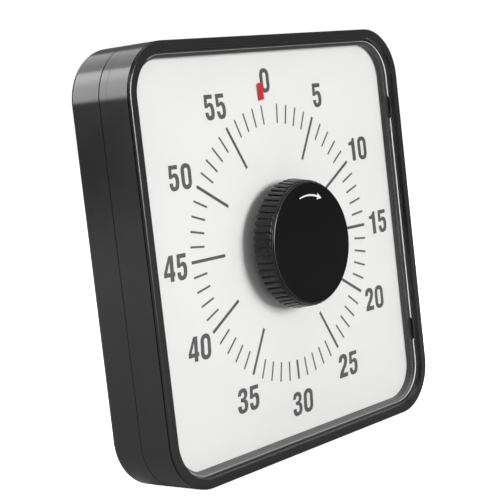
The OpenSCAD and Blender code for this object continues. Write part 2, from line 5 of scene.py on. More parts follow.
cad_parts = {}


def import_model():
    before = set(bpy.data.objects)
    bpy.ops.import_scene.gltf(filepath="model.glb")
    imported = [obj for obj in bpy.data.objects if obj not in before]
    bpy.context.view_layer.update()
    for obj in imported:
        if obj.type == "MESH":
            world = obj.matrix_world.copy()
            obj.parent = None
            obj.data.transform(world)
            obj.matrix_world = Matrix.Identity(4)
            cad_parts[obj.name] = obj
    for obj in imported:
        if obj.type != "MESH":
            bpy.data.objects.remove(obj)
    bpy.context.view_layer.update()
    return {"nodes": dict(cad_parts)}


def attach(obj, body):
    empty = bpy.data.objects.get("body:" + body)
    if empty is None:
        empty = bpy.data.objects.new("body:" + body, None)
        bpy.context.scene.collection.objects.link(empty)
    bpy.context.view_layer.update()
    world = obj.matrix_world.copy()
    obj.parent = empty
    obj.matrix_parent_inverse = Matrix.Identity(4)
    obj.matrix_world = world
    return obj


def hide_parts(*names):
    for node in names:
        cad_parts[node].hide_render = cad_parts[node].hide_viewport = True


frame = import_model()
NODES = frame["nodes"]

# ------------------------------------------------------------------ sizes, millimetres
# Front view frame: x right, y up, z towards the viewer. World: (x, -z, 95 + y).
A, CR = 95.0, 23.5
CC = A - CR
SPLIT, FRONT, BACK = 0.6, 18.3, -17.5
WALL, RIM, WIN = 2.5, 4.7, 7.1
LENS_F, LENS_B = 15.7, 14.43
LEDGE = 14.4
DIAL = 11.0
PITCH, RAMP, FADE = 1.7, 66.4, 18.0
KNOB_R, KNOB_TAPER, KNOB_Z0, KNOB_Z1, RIBS = 29.6, 1.2, 18.4, 28.5, 56
TAB_AT = 56.0
BOSS = CC + 19.6 / math.sqrt(2)
EARS = [(90.3, 34), (90.3, -34), (-90.3, 34), (-90.3, -34), (0, 90.3), (0, -90.3)]
PRINT = (0.0, 0.62)            # the print sits a little above the axis of the knob
MAGNETS = [(-66, 66), (66, 66), (-66, -66), (66, -66)]
BELL = (-64, -12)
TO_WORLD = Matrix(((0.001, 0, 0, 0), (0, 0, -0.001, 0), (0, 0.001, 0, 0.095), (0, 0, 0, 1)))


# ------------------------------------------------------------------ materials
class Nodes:
    """A small helper that writes one node material."""

    def __init__(self, name):
        self.mat = bpy.data.materials.new(name)
        self.mat.use_nodes = True
        self.nt = self.mat.node_tree
        self.nt.nodes.clear()
        self.out = self.nt.nodes.new("ShaderNodeOutputMaterial")
        self.co = self.nt.nodes.new("ShaderNodeTexCoord").outputs["Object"]

    def add(self, kind, **props):
        n = self.nt.nodes.new(kind)
        for k, v in props.items():
            setattr(n, k, v)
        return n

    def link(self, a, b):
        self.nt.links.new(a, b)

    def noise(self, scale, detail=3.0, rough=0.5, stretch=None):
        n = self.add("ShaderNodeTexNoise")
        n.inputs["Scale"].default_value = scale
        n.inputs["Detail"].default_value = detail
        n.inputs["Roughness"].default_value = rough
        if stretch:
            m = self.add("ShaderNodeMapping")
            m.inputs["Scale"].default_value = stretch
            self.link(self.co, m.inputs["Vector"])
            self.link(m.outputs[0], n.inputs["Vector"])
        else:
            self.link(self.co, n.inputs["Vector"])
        return n.outputs["Fac"]

    def voronoi(self, scale):
        n = self.add("ShaderNodeTexVoronoi")
        n.inputs["Scale"].default_value = scale
        self.link(self.co, n.inputs["Vector"])
        return n.outputs["Distance"]

    def ramp(self, fac, stops):
        n = self.add("ShaderNodeValToRGB")
        el = n.color_ramp.elements
        el[0].position, el[0].color = stops[0][0], (*stops[0][1], 1)
        el[1].position, el[1].color = stops[-1][0], (*stops[-1][1], 1)
        for p, c in stops[1:-1]:
            e = el.new(p)
            e.color = (*c, 1)
        self.link(fac, n.inputs["Fac"])
        return n.outputs["Color"]

    def span(self, fac, lo, hi, a=0.3, b=0.7):
        n = self.add("ShaderNodeMapRange")
        n.inputs["From Min"].default_value = a
        n.inputs["From Max"].default_value = b
        n.inputs["To Min"].default_value = lo
        n.inputs["To Max"].default_value = hi
        self.link(fac, n.inputs["Value"])
        return n.outputs["Result"]

    def math(self, op, a, b):
        n = self.add("ShaderNodeMath", operation=op)
        for i, v in enumerate((a, b)):
            if isinstance(v, (int, float)):
                n.inputs[i].default_value = v
            else:
                self.link(v, n.inputs[i])
        return n.outputs[0]

    def bump(self, height, strength, distance, onto=None):
        n = self.add("ShaderNodeBump")
        n.inputs["Strength"].default_value = strength
        n.inputs["Distance"].default_value = distance
        self.link(height, n.inputs["Height"])
        if onto is not None:
            self.link(onto, n.inputs["Normal"])
        return n.outputs["Normal"]

    def principled(self, **values):
        n = self.add("ShaderNodeBsdfPrincipled")
        for k, v in values.items():
            n.inputs[k.replace("_", " ")].default_value = v
        return n

    def done(self, shader):
        self.link(shader, self.out.inputs["Surface"])
        return self.mat


def plastic(name, lo, hi, rough, grain, grain_mm, spec=0.5, spread=0.05, coat=0.0):
    """Moulded plastic: two close shades, a spark-eroded grain and uneven gloss."""
    m = Nodes(name)
    broad = m.noise(22.0, 4.0, 0.55)
    fine = m.noise(1000.0 / grain_mm, 2.0, 0.6)
    spots = m.voronoi(640.0 / grain_mm)
    p = m.principled(Specular_IOR_Level=spec, Coat_Weight=coat, Coat_Roughness=0.12)
    tone = m.math("ADD", m.math("MULTIPLY", broad, 0.7), m.math("MULTIPLY", fine, 0.3))
    m.link(m.ramp(tone, [(0.3, lo), (0.7, hi)]), p.inputs["Base Color"])
    uneven = m.math("ADD", m.math("MULTIPLY", broad, 0.75), m.math("MULTIPLY", fine, 0.25))
    m.link(m.span(uneven, rough - spread, rough + spread), p.inputs["Roughness"])
    h = m.math("ADD", fine, m.math("MULTIPLY", spots, 0.6))
    m.link(m.bump(h, grain, 0.00004), p.inputs["Normal"])
    return m.done(p.outputs[0])


def inner_wall():
    """Wall round the dial: dull black, with painted light: the base colour turns paler on the lower wall, which faces
    up towards the light from above.
    """
    m = Nodes("case_inner_wall_dull_painted_light")
    broad = m.noise(60.0, 4.0, 0.6)
    fine = m.noise(2200.0, 2.0, 0.6)
    xyz = m.add("ShaderNodeSeparateXYZ")
    m.link(m.co, xyz.inputs[0])
    # painted light: this mask is high on the lower wall (low object Z); it lifts the base colour there and also
    # roughens it
    low = m.span(xyz.outputs["Z"], 0.80, 0.08, 0.006, 0.017)
    tone = m.math("ADD", low, m.math("MULTIPLY", broad, 0.16))
    p = m.principled(Specular_IOR_Level=0.45)
    m.link(m.ramp(tone, [(0.1, (0.011, 0.011, 0.0112)), (0.9, (0.13, 0.13, 0.13))]), p.inputs["Base Color"])
    m.link(m.math("ADD", m.span(broad, 0.34, 0.42), m.math("MULTIPLY", low, 0.35)), p.inputs["Roughness"])
    m.link(m.bump(fine, 0.15, 0.00003), p.inputs["Normal"])
    return m.done(p.outputs[0])


def metal(name, lo, hi, rough, brush=None, scale=900.0, depth=0.25):
    """Cut or drawn metal with fine turning or rolling marks."""
    m = Nodes(name)
    broad = m.noise(60.0, 4.0)
    lines = m.noise(scale, 3.0, 0.6, stretch=brush or (1, 1, 1))
    p = m.principled(Metallic=1.0)
    m.link(m.ramp(broad, [(0.3, lo), (0.7, hi)]), p.inputs["Base Color"])
    m.link(m.span(m.math("ADD", m.math("MULTIPLY", broad, 0.5), m.math("MULTIPLY", lines, 0.5)), rough - 0.07, rough + 0.09), p.inputs["Roughness"])
    m.link(m.bump(lines, depth, 0.00002), p.inputs["Normal"])
    return m.done(p.outputs[0])


def printed(name, lo, hi, rough=0.5):
    """Screen-printed ink: slightly uneven cover on the sheet."""
    m = Nodes(name)
    cover = m.noise(420.0, 4.0, 0.6)
    fine = m.noise(2600.0, 2.0)
    p = m.principled(Specular_IOR_Level=0.4)
    m.link(m.ramp(cover, [(0.25, lo), (0.75, hi)]), p.inputs["Base Color"])
    m.link(m.span(fine, rough - 0.06, rough + 0.08), p.inputs["Roughness"])
    m.link(m.bump(fine, 0.12, 0.00001), p.inputs["Normal"])
    return m.done(p.outputs[0])


def dial_sheet():
    """Matt white plastic sheet."""
    m = Nodes("dial_sheet_white")
    broad = m.noise(14.0, 4.0, 0.6)
    fine = m.noise(900.0, 3.0, 0.6)
    p = m.principled(Specular_IOR_Level=0.35)
    tone = m.math("ADD", m.math("MULTIPLY", broad, 0.8), m.math("MULTIPLY", fine, 0.2))
    m.link(m.ramp(tone, [(0.3, (0.80, 0.80, 0.795)), (0.7, (0.835, 0.835, 0.83))]), p.inputs["Base Color"])
    m.link(m.span(fine, 0.5, 0.62), p.inputs["Roughness"])
    m.link(m.bump(fine, 0.06, 0.00002), p.inputs["Normal"])
    return m.done(p.outputs[0])


def red_film():
    """Translucent red film: some light goes straight through, tinted."""
    m = Nodes("red_film")
    cloud = m.noise(160.0, 4.0, 0.6)
    fine = m.noise(1800.0, 2.0)
    p = m.principled(Specular_IOR_Level=0.5)
    m.link(m.ramp(cloud, [(0.3, (0.80, 0.010, 0.022)), (0.7, (0.86, 0.018, 0.030))]), p.inputs["Base Color"])
    m.link(m.span(fine, 0.32, 0.42), p.inputs["Roughness"])
    m.link(m.bump(fine, 0.06, 0.00001), p.inputs["Normal"])
    t = m.add("ShaderNodeBsdfTransparent")
    t.inputs["Color"].default_value = (0.92, 0.03, 0.05, 1)
    mix = m.add("ShaderNodeMixShader")
    mix.inputs["Fac"].default_value = 0.62
    m.link(t.outputs[0], mix.inputs[1])
    m.link(p.outputs[0], mix.inputs[2])
    return m.done(mix.outputs[0])


def clear_sheet():
    """Clear acrylic: what lies behind shows through, the face mirrors a little, with faint wipe marks in the gloss."""
    m = Nodes("lens_clear_face")
    fine = m.noise(26.0, 5.0, 0.65, stretch=(1, 1, 5))
    g = m.add("ShaderNodeBsdfGlossy")
    g.inputs["Color"].default_value = (1, 1, 1, 1)
    m.link(m.span(fine, 0.03, 0.09), g.inputs["Roughness"])
    t = m.add("ShaderNodeBsdfTransparent")
    t.inputs["Color"].default_value = (0.986, 0.986, 0.985, 1)
    w = m.add("ShaderNodeLayerWeight")
    w.inputs["Blend"].default_value = 0.5
    glint = m.math("MULTIPLY_ADD", m.math("POWER", w.outputs["Facing"], 5.0), 0.95)
    glint.node.inputs[2].default_value = 0.03
    mix = m.add("ShaderNodeMixShader")
    m.link(glint, mix.inputs["Fac"])
    m.link(t.outputs[0], mix.inputs[1])
    m.link(g.outputs[0], mix.inputs[2])
    return m.done(mix.outputs[0])


def clear_edge():
    """Cut edge of the acrylic with a painted glow: an emission stands in for light that runs inside the sheet,
    strongest on the right side and weaker on the lower side, faded towards the back of the edge and on the right-hand
    tabs.
    """
    m = Nodes("lens_edge_painted_glow")
    saw = m.noise(900.0, 3.0, 0.6, stretch=(1, 6, 1))
    slow = m.noise(30.0, 3.0, 0.6)
    p = m.principled(Specular_IOR_Level=0.6)
    m.link(m.ramp(saw, [(0.3, (0.70, 0.71, 0.71)), (0.7, (0.86, 0.86, 0.86))]), p.inputs["Base Color"])
    # painted glow: the emission colour and the masks below; strong on the right side, weaker on the lower side, faded
    # at the back of the edge and on the right-hand tabs
    m.link(m.ramp(slow, [(0.25, (0.80, 0.80, 0.80)), (0.75, (1.0, 1.0, 1.0))]), p.inputs["Emission Color"])
    xyz = m.add("ShaderNodeSeparateXYZ")
    m.link(m.co, xyz.inputs[0])
    right = m.span(xyz.outputs["X"], 0.02, 0.85, 0.066, 0.086)
    low = m.span(xyz.outputs["Z"], 0.26, 0.02, 0.006, 0.020)
    face = m.span(xyz.outputs["Y"], 1.0, 0.10, -0.01520, -0.01500)
    tab = m.span(xyz.outputs["X"], 1.0, 0.22, 0.0898, 0.0904)
    shown = m.math("MULTIPLY", face, tab)
    painted_glow_strength = m.math("MULTIPLY", m.math("MAXIMUM", right, low), shown)
    m.link(painted_glow_strength, p.inputs["Emission Strength"])
    m.link(m.span(saw, 0.2, 0.36), p.inputs["Roughness"])
    m.link(m.bump(saw, 0.2, 0.00002), p.inputs["Normal"])
    t = m.add("ShaderNodeBsdfTransparent")
    mix = m.add("ShaderNodeMixShader")
    m.link(m.math("MULTIPLY", shown, 0.85), mix.inputs["Fac"])
    m.link(t.outputs[0], mix.inputs[1])
    m.link(p.outputs[0], mix.inputs[2])
    return m.done(mix.outputs[0])


M = {
    "case": plastic("case_black_satin", (0.0125, 0.0125, 0.0127), (0.0165, 0.0165, 0.0167), 0.19, 0.10, 0.45, spread=0.04),
    # painted shade: a darker, duller copy of the case plastic for the fine groove below the rim
    "gap": plastic("case_groove_painted_shade", (0.0015, 0.0015, 0.0015), (0.0025, 0.0025, 0.0025), 0.75, 0.10, 0.45, spec=0.1),
    "inner": inner_wall(),
    "knob": plastic("knob_black_satin", (0.0085, 0.0085, 0.0087), (0.0115, 0.0115, 0.0117), 0.26, 0.10, 0.40, spec=0.45),
    "cap": plastic("cap_black_satin", (0.0030, 0.0030, 0.0031), (0.0042, 0.0042, 0.0043), 0.30, 0.08, 0.40, spec=0.12),
    # painted highlight: a lighter copy of the cap plastic for the chamfer round the knob face; its higher gloss also
    # catches the lamps as a real highlight
    "cap_edge": plastic("cap_edge_painted_highlight", (0.0100, 0.0100, 0.0102), (0.0140, 0.0140, 0.0142), 0.20, 0.05, 0.40, spec=0.9),
    "hub": plastic("hub_black", (0.012, 0.012, 0.012), (0.018, 0.018, 0.018), 0.45, 0.12, 0.5),
    "chassis": plastic("chassis_grey", (0.085, 0.085, 0.088), (0.105, 0.105, 0.108), 0.5, 0.15, 0.6),
    "nylon": plastic("cam_white_nylon", (0.70, 0.70, 0.66), (0.78, 0.78, 0.74), 0.45, 0.08, 0.5),
    "dial": dial_sheet(),
    "ink_heavy": printed("dial_ink_heavy", (0.060, 0.060, 0.060), (0.080, 0.079, 0.078)),
    "ink_fine": printed("dial_ink_fine", (0.075, 0.074, 0.073), (0.100, 0.098, 0.097)),
    "ink_white": printed("knob_ink_white", (0.72, 0.72, 0.73), (0.84, 0.84, 0.85), 0.45),
    "red": red_film(),
    "lens": clear_sheet(),
    "lens_edge": clear_edge(),
    "steel": metal("steel_turned", (0.52, 0.52, 0.53), (0.62, 0.62, 0.63), 0.28),
    "screw": metal("screw_zinc", (0.50, 0.51, 0.53), (0.63, 0.64, 0.66), 0.34),
    "spring": metal("spring_blue_steel", (0.16, 0.18, 0.22), (0.24, 0.26, 0.30), 0.30, brush=(1, 12, 1)),
    "bell": metal("bell_nickel", (0.60, 0.60, 0.59), (0.70, 0.70, 0.69), 0.17, scale=500.0, depth=0.12),
    "brass": metal("brass_rolled", (0.66, 0.47, 0.19), (0.76, 0.56, 0.25), 0.27, brush=(1, 1, 9)),
    "magnet": plastic("magnet_ferrite", (0.040, 0.040, 0.042), (0.066, 0.066, 0.070), 0.52, 0.5, 0.9, spec=0.6),
}

NODE_LOOK = {
    "chassis": "chassis", "case_screws": "screw", "chassis_screws": "screw", "movement_screws": "screw",
    "front_plate": "brass", "rear_plate": "brass", "pillars": "steel", "pillar_screws": "screw",
    "spring_barrel": "steel", "mainspring": "spring", "bell": "bell", "bell_post": "steel", "bell_screw": "screw",
    "knob_screw": "screw", "main_arbor": "steel", "main_wheel": "brass", "clutch_washer": "spring",
    "alarm_cam": "nylon", "disc_hub": "hub", "second_wheel": "brass", "second_pinion": "steel",
    "second_arbor": "steel", "third_wheel": "brass", "third_pinion": "steel", "third_arbor": "steel",
    "escape_wheel": "brass", "escape_pinion": "steel", "escape_arbor": "steel", "pallet_lever": "steel",
    "balance": "brass", "pallet_arbor": "steel", "hammer_arm": "steel", "hammer_head": "steel",
    "hammer_arbor": "steel", "hammer_spring": "spring", "release_lever": "steel", "release_arbor": "steel",
}
for n, look in NODE_LOOK.items():
    o = NODES[n]
    if not o.material_slots:
        o.data.materials.append(M[look])
    for s in o.material_slots:
        s.material = M[look]


# ------------------------------------------------------------------ mesh helpers
def raw(name, verts, faces, mats=()):
    """A mesh object in front view millimetres. faces may hold (indices, material)."""
    me = bpy.data.meshes.new(name)
    plain = [f[0] if isinstance(f[0], (list, tuple)) else f for f in faces]
    me.from_pydata([tuple(v) for v in verts], [], [list(f) for f in plain])
    for m in mats:
        me.materials.append(m)
    for poly, f in zip(me.polygons, faces):
        if isinstance(f[0], (list, tuple)):
            poly.material_index = f[1]
    o = bpy.data.objects.new(name, me)
    bpy.context.scene.collection.objects.link(o)
    return o


def clean(o, weld=0.002):
    bm = bmesh.new()
    bm.from_mesh(o.data)
    bmesh.ops.remove_doubles(bm, verts=bm.verts, dist=weld)
    bmesh.ops.dissolve_degenerate(bm, edges=bm.edges, dist=weld * 0.5)
    bmesh.ops.delete(bm, geom=[q for q in bm.verts if not q.link_faces], context="VERTS")
    bmesh.ops.recalc_face_normals(bm, faces=bm.faces)
    bm.to_mesh(o.data)
    bm.free()


def boolean(o, tool, op):
    """Exact boolean in millimetres, applied at once. tool is one object, or a list of solids that don't touch."""
    if isinstance(tool, list):
        tool = joined("tools", tool)
    m = o.modifiers.new("cut", "BOOLEAN")
    m.operation, m.object, m.solver = op, tool, "EXACT"
    dg = bpy.context.evaluated_depsgraph_get()
    me = bpy.data.meshes.new_from_object(o.evaluated_get(dg))
    o.modifiers.clear()
    o.data = me
    bpy.data.objects.remove(tool)
    clean(o, 0.0008)


def joined(name, objects):
    bm = bmesh.new()
    for o in objects:
        bm.from_mesh(o.data)
        bpy.data.objects.remove(o)
    me = bpy.data.meshes.new(name)
    bm.to_mesh(me)
    bm.free()
    o = bpy.data.objects.new(name, me)
    bpy.context.scene.collection.objects.link(o)
    return o


def place(o, body, replaces=(), angle=32.0, weighted=True):
    """Millimetres to the row frame, smooth shading with sharp corners kept, then onto its body."""
    o.data.transform(TO_WORLD)
    o.data.shade_smooth()
    o.data.set_sharp_from_angle(angle=math.radians(angle))
    if weighted:
        w = o.modifiers.new("even_normals", "WEIGHTED_NORMAL")
        w.keep_sharp = True
        w.weight = 100
    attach(o, body)
    if replaces:
        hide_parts(*replaces)
    return o


def arc(cu, cz, r, a0, a1, n):
    """Profile points (u, z) of a fillet: u runs inward from the outside of the case."""
    return [(cu - r * math.cos(math.radians(a0 + (a1 - a0) * i / n)),
             cz + r * math.sin(math.radians(a0 + (a1 - a0) * i / n))) for i in range(n + 1)]


def stations(n=20, marks=()):
    """Round the case once: (base x, base y, direction x, direction y, side position or None, side number)."""
    out = []
    for k in range(4):
        c, s = ((1, 0), (0, 1), (-1, 0), (0, -1))[k]
        for q, tag in [(-CC, None), *(marks if k in (0, 2) else ()), (CC, None)]:
            out.append((CC * c - q * s, CC * s + q * c, c, s, tag, k))
        for i in range(1, n):
            t = math.radians(90 * i / n)
            dx, dy = math.cos(t), math.sin(t)
            out.append((CC * c - CC * s, CC * s + CC * c, dx * c - dy * s, dx * s + dy * c, None, k))
    return out


def sweep(profile, st, close=True):
    """Profile points (u, z) carried round the stations. profile is a list or a function of the station."""
    verts, faces, m = [], [], None
    for s in st:
        pts = profile(s) if callable(profile) else profile
        m = len(pts)
        for u, z in pts:
            r = CR - u
            verts.append((s[0] + r * s[2], s[1] + r * s[3], z))
    n = len(st)
    for i in range(n):
        j = (i + 1) % n
        for k in range(m if close else m - 1):
            l = (k + 1) % m
            faces.append((i * m + k, j * m + k, j * m + l, i * m + l))
    return verts, faces, m


def turned(name, prof, n=48, at=(0, 0), wave=None, close=True, mats=(), mat_of=None):
    """A turned solid about the z axis: prof is a closed list of (r, z) or (r, z, rib share)."""
    verts, faces = [], []
    m = len(prof)
    close = close and prof[0][0] > 0.01
    for i in range(n):
        t = 2 * math.pi * i / n
        for q in prof:
            r = q[0] + (wave(t) * q[2] if wave and len(q) > 2 else 0.0)
            verts.append((at[0] + r * math.cos(t), at[1] + r * math.sin(t), q[1]))
    for i in range(n):
        j = (i + 1) % n
        for k in range(m if close else m - 1):
            l = (k + 1) % m
            f = (i * m + k, j * m + k, j * m + l, i * m + l)
            faces.append((f, mat_of(k)) if mat_of else f)
    o = raw(name, verts, faces, mats)
    clean(o)
    return o


def rod(name, at, r, z0, z1, n=48, c0=0.0, c1=0.0):
    """Round solid with chamfers c0 and c1, made for use in booleans."""
    prof = [(0.0, z0), (r - c0, z0)]
    if c0:
        prof.append((r, z0 + abs(c0)))
    if c1:
        prof.append((r, z1 - abs(c1)))
    prof += [(r - c1, z1), (0.0, z1)]
    verts, faces = [], []
    ring = [q for q in prof if q[0] > 1e-9]
    for r_, z_ in ring:
        for i in range(n):
            t = 2 * math.pi * i / n
            verts.append((at[0] + r_ * math.cos(t), at[1] + r_ * math.sin(t), z_))
    for k in range(len(ring) - 1):
        for i in range(n):
            j = (i + 1) % n
            faces.append((k * n + i, k * n + j, (k + 1) * n + j, (k + 1) * n + i))
    faces.append(tuple(range(n - 1, -1, -1)))
    faces.append(tuple(range((len(ring) - 1) * n, len(ring) * n)))
    o = raw(name, verts, faces)
    clean(o)
    return o


def block(name, x0, x1, y0, y1, z0, z1):
    v = [(x, y, z) for x in (x0, x1) for y in (y0, y1) for z in (z0, z1)]
    f = [(0, 1, 3, 2), (4, 6, 7, 5), (0, 4, 5, 1), (2, 3, 7, 6), (0, 2, 6, 4), (1, 5, 7, 3)]
    o = raw(name, v, f)
    clean(o)
    return o


# ------------------------------------------------------------------ case, front half
def front_case():
    d, half = 1.1, 6.6
    marks = []
    for s in (-1, 1):
        marks += [(s * TAB_AT - half, False), (s * TAB_AT - half, True), (s * TAB_AT + half, True), (s * TAB_AT + half, False)]

    def profile(s):
        deep = RIM - d if s[4] else RIM
        return (
            [(0.0, SPLIT + 0.30)]
            + [(0.0, 4.9), (0.05, 5.05), (0.0, 5.2)]
            + [(0.0, FRONT - 1.40), (0.5, FRONT - 1.38), (0.5, FRONT - 0.90), (0.03, FRONT - 0.88)]
            + [(1.35 - 1.31 * math.cos(math.radians(9 * i)), FRONT - 0.86 + 0.86 * math.sin(math.radians(9 * i))) for i in range(11)]
            + arc(RIM - 0.35, FRONT - 0.35, -0.35, 270, 180, 4)[0:]
            + [(RIM, LEDGE + 1.45), (deep, LEDGE + 1.45), (deep, LEDGE)]
            + [(WIN - 0.25, LEDGE), (WIN, LEDGE - 0.25)]
            + [(WIN, DIAL), (WALL, DIAL), (WALL, 3.0), (1.4, 3.0), (1.4, SPLIT), (0.3, SPLIT)]
        )

    v, f, m = sweep(profile, stations(24, marks))
    pts = profile((0, 0, 0, 0, False))
    kind = []
    for k in range(m):
        p, q = pts[k], pts[(k + 1) % m]
        # the fine groove below the rim takes the darker groove material (painted shade); the wall round the dial takes
        # the inner wall material
        gap = 0.4 < max(p[0], q[0]) < 0.6 and FRONT - 1.5 < min(p[1], q[1]) and max(p[1], q[1]) < FRONT - 0.87
        wall = min(p[0], q[0]) > RIM - 0.1 and DIAL <= min(p[1], q[1]) and max(p[1], q[1]) <= LEDGE
        kind.append(1 if gap else 2 if wall and max(p[0], q[0]) <= WIN else 0)
    o = raw("front_case_shell", v, [(q, kind[i % m]) for i, q in enumerate(f)], [M["case"], M["gap"], M["inner"]])
    clean(o)
    adds = [rod("t", (x * BOSS, y * BOSS), 2.3, 3.2, DIAL + 0.1, 32) for x in (-1, 1) for y in (-1, 1)]
    adds += [rod("t", e, 1.9, 8.5, DIAL + 0.1, 32) for e in EARS]
    boolean(o, adds, "UNION")
    cuts = [rod("t", (x * BOSS, y * BOSS), 0.95, 3.1, 9.8, 24) for x in (-1, 1) for y in (-1, 1)]
    cuts += [rod("t", e, 0.75, 8.4, 10.6, 24) for e in EARS]
    boolean(o, cuts, "DIFFERENCE")
    return place(o, "case", ["front_case"])


# ------------------------------------------------------------------ case, back half
def rear_case():
    rb = 3.0
    prof = (
        [(20.0, BACK + WALL), (WALL + 0.6, BACK + WALL), (WALL, BACK + WALL + 0.6), (WALL, 2.7), (1.6, 2.7), (1.6, SPLIT - 0.02), (0.3, SPLIT - 0.02)]
        + [(0.0, SPLIT - 0.30)]
        + [(rb - rb * math.cos(math.radians(9 * i)), BACK + rb - rb * math.sin(math.radians(9 * i))) for i in range(11)]
        + [(20.0, BACK)]
    )
    st = stations(24)
    v, f, m = sweep(prof, st, close=False)
    n = len(st)
    f.append(tuple(i * m for i in range(n)))
    f.append(tuple(i * m + m - 1 for i in range(n - 1, -1, -1)))
    o = raw("rear_case_shell", v, f, [M["case"]])
    clean(o)
    corners = [(x * BOSS, y * BOSS) for x in (-1, 1) for y in (-1, 1)]
    adds = [rod("t", c, 3.2, BACK + 1, 0.2, 40) for c in corners] + [rod("t", p, 10.0, BACK + 1, BACK + 4.6, 64) for p in MAGNETS]
    adds += [capsule("t", 60, 69, 7.0, [(BACK + 1, 0.0), (BACK + 4.8, 0.0)]), rod("t", BELL, 4.0, BACK + 1, -9.5, 40)]
    boolean(o, adds, "UNION")
    boolean(o, [rod("t", c, 2.1, 0.0, 2.9, 32) for c in corners], "UNION")
    cuts = [bore("t", c, 2.1, 0.8, BACK, -6, 40) for c in corners] + [bore("t", p, 7.6, 0.75, BACK, BACK + 2.6, 72) for p in MAGNETS]
    cuts += [bore("t", (0, 60), 4.5, 0.4, BACK, BACK + 3.8, 48), rod("t", BELL, 0.9, -14, -9, 24)]
    for i in range(-2, 3):
        for q in (-1, 1):
            cuts.append(slot_cut("t", BELL[0] + q * 12.5, BELL[1] + 6 * i, 13.0, 2.2))
    boolean(o, cuts, "DIFFERENCE")
    boolean(o, [rod("t", c, 1.2, -7, 4, 32) for c in corners] + [capsule("t", 60.001, 69, 2.2, [(BACK - 1.0, 0.3), (BACK - 0.05, 0.3), (BACK + 0.25, 0.0), (BACK + 1.9, 0.0)])], "DIFFERENCE")
    boolean(o, [block("t", -3.6, 3.6, 60.002, 69.6, BACK + 1.1, BACK + 3.799)], "DIFFERENCE")
    return place(o, "case", ["rear_case"])


def levels(name, loop, heights):
    """Solid between stacked outlines: loop holds (base x, base y, direction x, direction y), heights (z, radius)."""
    v, f, m = [], [], len(loop)
    for z, r in heights:
        v += [(bx + r * dx, by + r * dy, z) for bx, by, dx, dy in loop]
    for k in range(len(heights) - 1):
        for i in range(m):
            j = (i + 1) % m
            f.append((k * m + i, k * m + j, (k + 1) * m + j, (k + 1) * m + i))
    f.append(tuple(range(m - 1, -1, -1)))
    f.append(tuple(range((len(heights) - 1) * m, len(heights) * m)))
    o = raw(name, v, f)
    clean(o)
    return o


def slot_cut(name, cx, cy, length, width):
    """Long hole with round ends and a small flare at the back face."""
    r, n, loop = width / 2, 10, []
    for sx, a0 in ((1, -90), (-1, 90)):
        for i in range(n + 1):
            t = math.radians(a0 + 180 * i / n)
            loop.append((cx + sx * (length / 2 - r), cy, math.cos(t), math.sin(t)))
    return levels(name, loop, [(BACK - 1.0, r + 0.45), (BACK - 0.1, r + 0.45), (BACK + 0.35, r), (BACK + WALL + 1.0, r)])


def capsule(name, y0, y1, r, heights):
    """Upright rounded slot between two heights on the middle line: heights holds (z, extra radius)."""
    n, loop = 14, []
    for y, a0 in ((y0, 180), (y1, 0)):
        for i in range(n + 1):
            t = math.radians(a0 + 180 * i / n)
            loop.append((0.0, y, math.cos(t), math.sin(t)))
    return levels(name, loop, [(z, r + e) for z, e in heights])


def bore(name, at, r, flare, z0, z1, n):
    """Blind round hole from below with a chamfer at its mouth."""
    loop = [(at[0], at[1], math.cos(2 * math.pi * i / n), math.sin(2 * math.pi * i / n)) for i in range(n)]
    return levels(name, loop, [(z0 - 1.0, r + flare), (z0 - 0.1, r + flare), (z0 - 0.1 + flare, r), (z1, r)])


# ------------------------------------------------------------------ flat sheets with an outline and holes
def inside(loops, x, y):
    hit = False
    for lp in loops:
        j = len(lp) - 1
        for i in range(len(lp)):
            (xi, yi), (xj, yj) = lp[i], lp[j]
            if (yi > y) != (yj > y) and x < (xj - xi) * (y - yi) / (yj - yi) + xi:
                hit = not hit
            j = i
    return hit


def dense(loop, step):
    out = []
    for i, p in enumerate(loop):
        q = loop[(i + 1) % len(loop)]
        k = max(1, math.ceil(math.dist(p, q) / step))
        out += [(p[0] + (q[0] - p[0]) * j / k, p[1] + (q[1] - p[1]) * j / k) for j in range(k)]
    return out


def triangles(loops, step=None):
    """Points and triangles that fill the outlines, even-odd, with inner points on a grid."""
    pts, edges = [], []
    for lp in loops:
        b = len(pts)
        pts += lp
        edges += [(b + i, b + (i + 1) % len(lp)) for i in range(len(lp))]
    rim = len(pts)
    if step:
        xs, ys = [p[0] for p in pts], [p[1] for p in pts]
        nx, ny = int((max(xs) - min(xs)) / step), int((max(ys) - min(ys)) / step)
        for i in range(1, nx + 1):
            for j in range(1, ny + 1):
                x = min(xs) + (i + 0.13 * (j % 2)) * step
                y = min(ys) + j * step
                if inside(loops, x, y) and min((x - p[0]) ** 2 + (y - p[1]) ** 2 for p in pts[:rim]) > (0.45 * step) ** 2:
                    pts.append((x, y))
    r = delaunay_2d_cdt([Vector(p) for p in pts], edges, [], 0, 1e-5)
    out, tri = [tuple(v) for v in r[0]], []
    for f in r[2]:
        cx = sum(out[i][0] for i in f) / len(f)
        cy = sum(out[i][1] for i in f) / len(f)
        if inside(loops, cx, cy):
            tri.append(tuple(f))
    return out, tri


def film(name, loops, top, bottom, step=None, mats=()):
    """A closed thin solid over the outlines; top and bottom are heights as functions of x and y."""
    pts, tri = triangles(loops, step)
    n = len(pts)
    v = [(x, y, top(x, y)) for x, y in pts] + [(x, y, bottom(x, y)) for x, y in pts]
    f = [t for t in tri] + [tuple(n + i for i in reversed(t)) for t in tri]
    count = {}
    for t in tri:
        for i in range(len(t)):
            e = (t[i], t[(i + 1) % len(t)])
            count[e] = True
    for a, b in list(count):
        if (b, a) not in count:
            f.append((b, a, n + a, n + b))
    return raw(name, v, f, mats)


